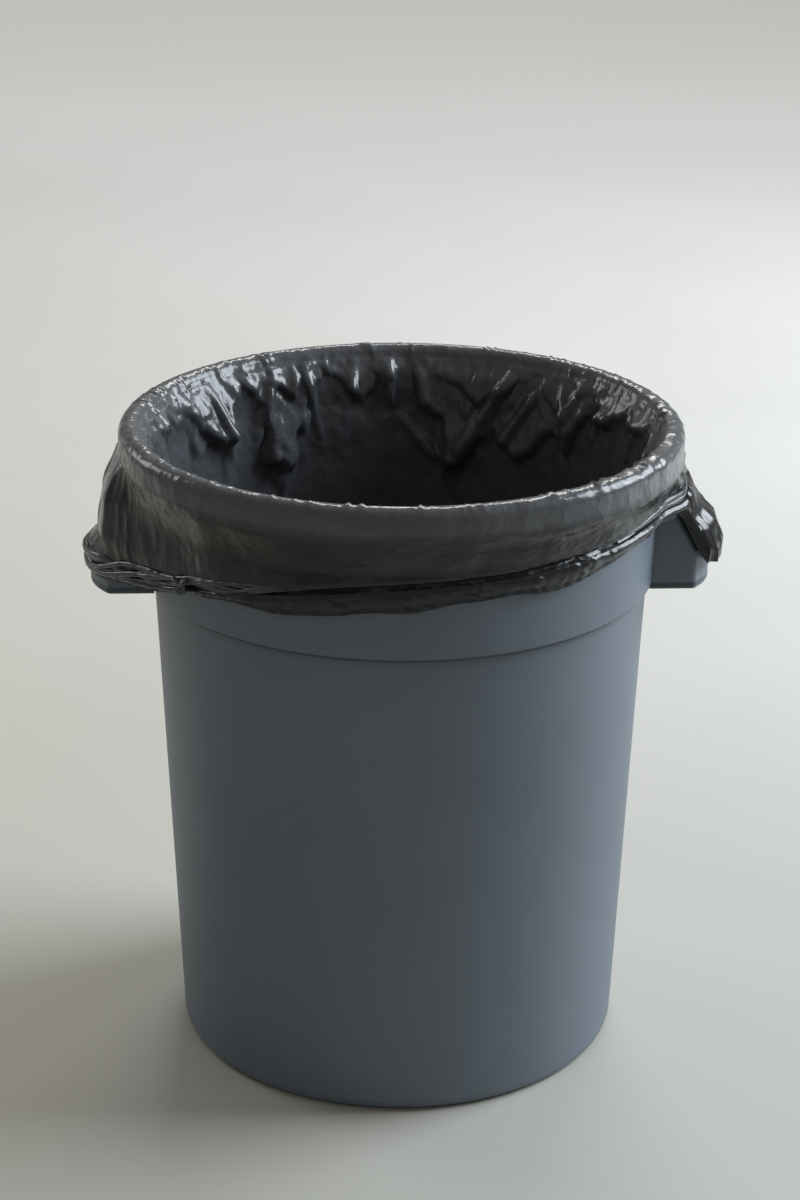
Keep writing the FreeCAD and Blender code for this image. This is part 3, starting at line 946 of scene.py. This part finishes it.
strands = []
for lead, rise, size, seed in STRANDS:
    path, sizes = strand_path(lead, rise * MM, seed)
    strands.append(gathered(path, sizes, Radius=size * MM, Swell=1.4, Ridge_Depth=1.7 * MM,
                            Step=2.4 * MM))
for lead, size in KNOT_LOOPS:
    strands.append(gathered(knot_path(lead, size * MM), 1.0, Radius=2.0 * MM, Swell=0.7,
                            Ridge_Depth=1.0 * MM, Step=1.6 * MM))
mouth = joined("bag_mouth", strands)
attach(mouth, "root")
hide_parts("bin_bag")
print("mouth", len(mouth.data.polygons), "faces")

# %% [markdown]
# ## Stage and light
# A plain pale floor, one wide soft light from the right and a little behind, a thin strip that draws
# the gleam along the far rim, a weaker lamp behind, and an even sky. The floor's colour is graded as
# painted light and shade: paler on the left near the bin, darker on the right where the wide light
# falls, and paler far off. Far off it also glows a little, in sight and in reflections, so that the
# glossy film has something bright to mirror. Its colour makes it pale, so the lamps stay at a plain
# level.

# %% Floor, lamps and sky
STAGE_HALF = 14.0
# Floor colours graded as painted light and shade: paler on the near left, darker on the near right,
# paler far off.
STAGE_LEFT = (0.53, 0.515, 0.45, 1)
STAGE_RIGHT = (0.42, 0.415, 0.385, 1)
STAGE_FAR_LIT = (0.80, 0.79, 0.765, 1)
STAGE_GLOW = (0.27, 0.265, 0.26, 1)
SKY_COLOUR = (1.0, 0.985, 0.94, 1)
SKY_STRENGTH = 0.27
# Each lamp: its name, its place, what it points at, its width and height, its watts and its colour.
LAMPS = (
    ("wide", (2.9, 0.65, 2.15), (0, 0, 0.4), (2.3, 2.1), 188, (0.84, 0.92, 1.0)),
    ("strip", (0.5, 2.4, 2.3), (0, 0.1, 0.5), (1.6, 0.3), 25, (1.0, 0.99, 0.96)),
    ("back", (-2.6, 1.9, 1.8), (0, 0, 0.45), (1.2, 1.6), 20, (0.95, 0.97, 1.0)))


def floor_finish():
    f = Finish("floor")
    place = f.node("ShaderNodeTexCoord", output=3)
    cloud = f.noise(place, 1.3, 3.0)
    across = f.node("ShaderNodeSeparateXYZ", {}, {0: place}, output="X")
    back = f.node("ShaderNodeSeparateXYZ", {}, {0: place}, output="Y")
    # Painted light and shade: paler far off, and near the bin paler on the left than on the right.
    far = f.ramp(across * 0.10 + back * 0.16 + cloud * 0.10, (0.12, 0.0), (0.62, 1.0))
    near = f.colours(f.ramp(across * 0.6 + 0.5, (0.2, 0.0), (0.85, 1.0)), STAGE_LEFT, STAGE_RIGHT)
    colour = f.colours(far, near, STAGE_FAR_LIT)
    seen = sum(f.node("ShaderNodeLightPath", output=ray) for ray in
               ("Is Camera Ray", "Is Glossy Ray", "Is Transmission Ray"))
    distant = f.ramp(back * 0.2 + across * 0.02, (0.40, 0.0), (0.85, 1.0))
    glow = f.colours(distant * seen, (0, 0, 0, 1), STAGE_GLOW)
    return f.set(Base_Color=colour, Roughness=cloud * 0.2 + 0.42, Emission_Color=glow,
                 Emission_Strength=1.0)


def add_floor():
    mesh = bpy.data.meshes.new("floor")
    corners = [(-STAGE_HALF, -STAGE_HALF, 0), (STAGE_HALF, -STAGE_HALF, 0),
               (STAGE_HALF, STAGE_HALF, 0), (-STAGE_HALF, STAGE_HALF, 0)]
    mesh.from_pydata(corners, [], [(0, 1, 2, 3)])
    mesh.materials.append(floor_finish())
    floor = bpy.data.objects.new("floor", mesh)
    bpy.context.collection.objects.link(floor)


def add_lamp(name, place, aim, size, power, colour):
    data = bpy.data.lights.new(name, "AREA")
    data.shape = "RECTANGLE"
    data.size, data.size_y = size
    data.energy = power
    data.color = colour
    lamp = bpy.data.objects.new(name, data)
    lamp.location = place
    lamp.rotation_euler = (Vector(aim) - Vector(place)).to_track_quat("-Z", "Y").to_euler()
    bpy.context.collection.objects.link(lamp)


add_floor()
for lamp in LAMPS:
    add_lamp(*lamp)
world = bpy.data.worlds.new("sky")
world.use_nodes = True
background = world.node_tree.nodes["Background"]
background.inputs["Color"].default_value = SKY_COLOUR
background.inputs["Strength"].default_value = SKY_STRENGTH
bpy.context.scene.world = world
bpy.context.scene.view_settings.view_transform = "Standard"
